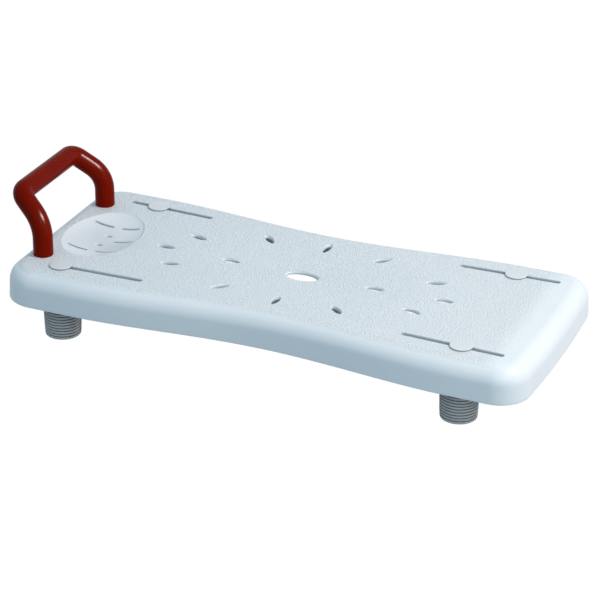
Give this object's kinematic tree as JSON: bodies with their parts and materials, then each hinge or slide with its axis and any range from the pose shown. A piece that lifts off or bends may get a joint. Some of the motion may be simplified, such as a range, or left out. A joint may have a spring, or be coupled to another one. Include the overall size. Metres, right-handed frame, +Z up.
{
  "type": "bath bench",
  "caption": "Moulded bath board with a waisted plan, seat hollow, drain holes, soap dish, red grab handle and sliding screw-down rubber stops.",
  "frame": {"origin": "on the floor under the middle of the whole bench's box", "axes": "+X along the board away from the handle, +Y across it to the back, +Z up"},
  "size_m": [0.7085, 0.2986, 0.1789],
  "materials": {
    "board": "fine pebble grain on top, satin on the skirt",
    "handle": "smooth gloss, dark red",
    "handle_washer": "plated",
    "handle_screw": "stainless",
    "cap": "smooth",
    "stud": "stainless",
    "clamp_washer": "plated",
    "core": "moulded",
    "nut": "plated",
    "sleeve": "ribbed grey rubber"
  },
  "bodies": {
    "board": {"board": "board", "handle": "handle", "handle_screw_front": "handle_screw", "handle_screw_back": "handle_screw", "handle_washer_front": "handle_washer", "handle_washer_back": "handle_washer"},
    "stop_front_left": {"cap_front_left": "cap", "stud_front_left": "stud"},
    "clamp_front_left": {"clamp_washer_front_left": "clamp_washer"},
    "foot_front_left": {"core_front_left": "core", "nut_front_left": "nut", "sleeve_front_left": "sleeve"},
    "stop_back_left": {"cap_back_left": "cap", "stud_back_left": "stud"},
    "clamp_back_left": {"clamp_washer_back_left": "clamp_washer"},
    "foot_back_left": {"core_back_left": "core", "nut_back_left": "nut", "sleeve_back_left": "sleeve"},
    "stop_front_right": {"cap_front_right": "cap", "stud_front_right": "stud"},
    "clamp_front_right": {"clamp_washer_front_right": "clamp_washer"},
    "foot_front_right": {"core_front_right": "core", "nut_front_right": "nut", "sleeve_front_right": "sleeve"},
    "stop_back_right": {"cap_back_right": "cap", "stud_back_right": "stud"},
    "clamp_back_right": {"clamp_washer_back_right": "clamp_washer"},
    "foot_back_right": {"core_back_right": "core", "nut_back_right": "nut", "sleeve_back_right": "sleeve"}
  },
  "joints": [
    {"name": "travel_front_left", "type": "slide", "parent": "board", "child": "stop_front_left", "axis": [-0.9994, -0.0349, 0], "range_m": [-0.103, 0.0015]},
    {"name": "drop_front_left", "type": "slide", "parent": "stop_front_left", "child": "clamp_front_left", "axis": [0, 0, -1], "range_m": [0, 0.002]},
    {"name": "turn_front_left", "type": "hinge", "parent": "clamp_front_left", "child": "foot_front_left", "pos_m": [-0.26655, -0.10556, 0.0345], "axis": [0, 0, -1], "range_deg": [0, 720]},
    {"name": "travel_back_left", "type": "slide", "parent": "board", "child": "stop_back_left", "axis": [-0.9994, 0.0349, 0], "range_m": [-0.0705, 0.034]},
    {"name": "drop_back_left", "type": "slide", "parent": "stop_back_left", "child": "clamp_back_left", "axis": [0, 0, -1], "range_m": [0, 0.002]},
    {"name": "turn_back_left", "type": "hinge", "parent": "clamp_back_left", "child": "foot_back_left", "pos_m": [-0.23415, 0.10442, 0.0345], "axis": [0, 0, -1], "range_deg": [0, 720]},
    {"name": "travel_front_right", "type": "slide", "parent": "board", "child": "stop_front_right", "axis": [0.9994, -0.0349, 0], "range_m": [-0.07, 0.046]},
    {"name": "drop_front_right", "type": "slide", "parent": "stop_front_right", "child": "clamp_front_right", "axis": [0, 0, -1], "range_m": [0, 0.002]},
    {"name": "turn_front_right", "type": "hinge", "parent": "clamp_front_right", "child": "foot_front_right", "pos_m": [0.26215, -0.1044, 0.0345], "axis": [0, 0, -1], "range_deg": [0, 720]},
    {"name": "travel_back_right", "type": "slide", "parent": "board", "child": "stop_back_right", "axis": [0.9994, 0.0349, 0], "range_m": [-0.0665, 0.049]},
    {"name": "drop_back_right", "type": "slide", "parent": "stop_back_right", "child": "clamp_back_right", "axis": [0, 0, -1], "range_m": [0, 0.002]},
    {"name": "turn_back_right", "type": "hinge", "parent": "clamp_back_right", "child": "foot_back_right", "pos_m": [0.25905, 0.10429, 0.0345], "axis": [0, 0, -1], "range_deg": [0, 720]}
  ],
  "couplings": [
    {"joint": "drop_front_left", "follows": "turn_front_left", "m_per_rad": 0.000159},
    {"joint": "drop_back_left", "follows": "turn_back_left", "m_per_rad": 0.000159},
    {"joint": "drop_front_right", "follows": "turn_front_right", "m_per_rad": 0.000159},
    {"joint": "drop_back_right", "follows": "turn_back_right", "m_per_rad": 0.000159}
  ]
}
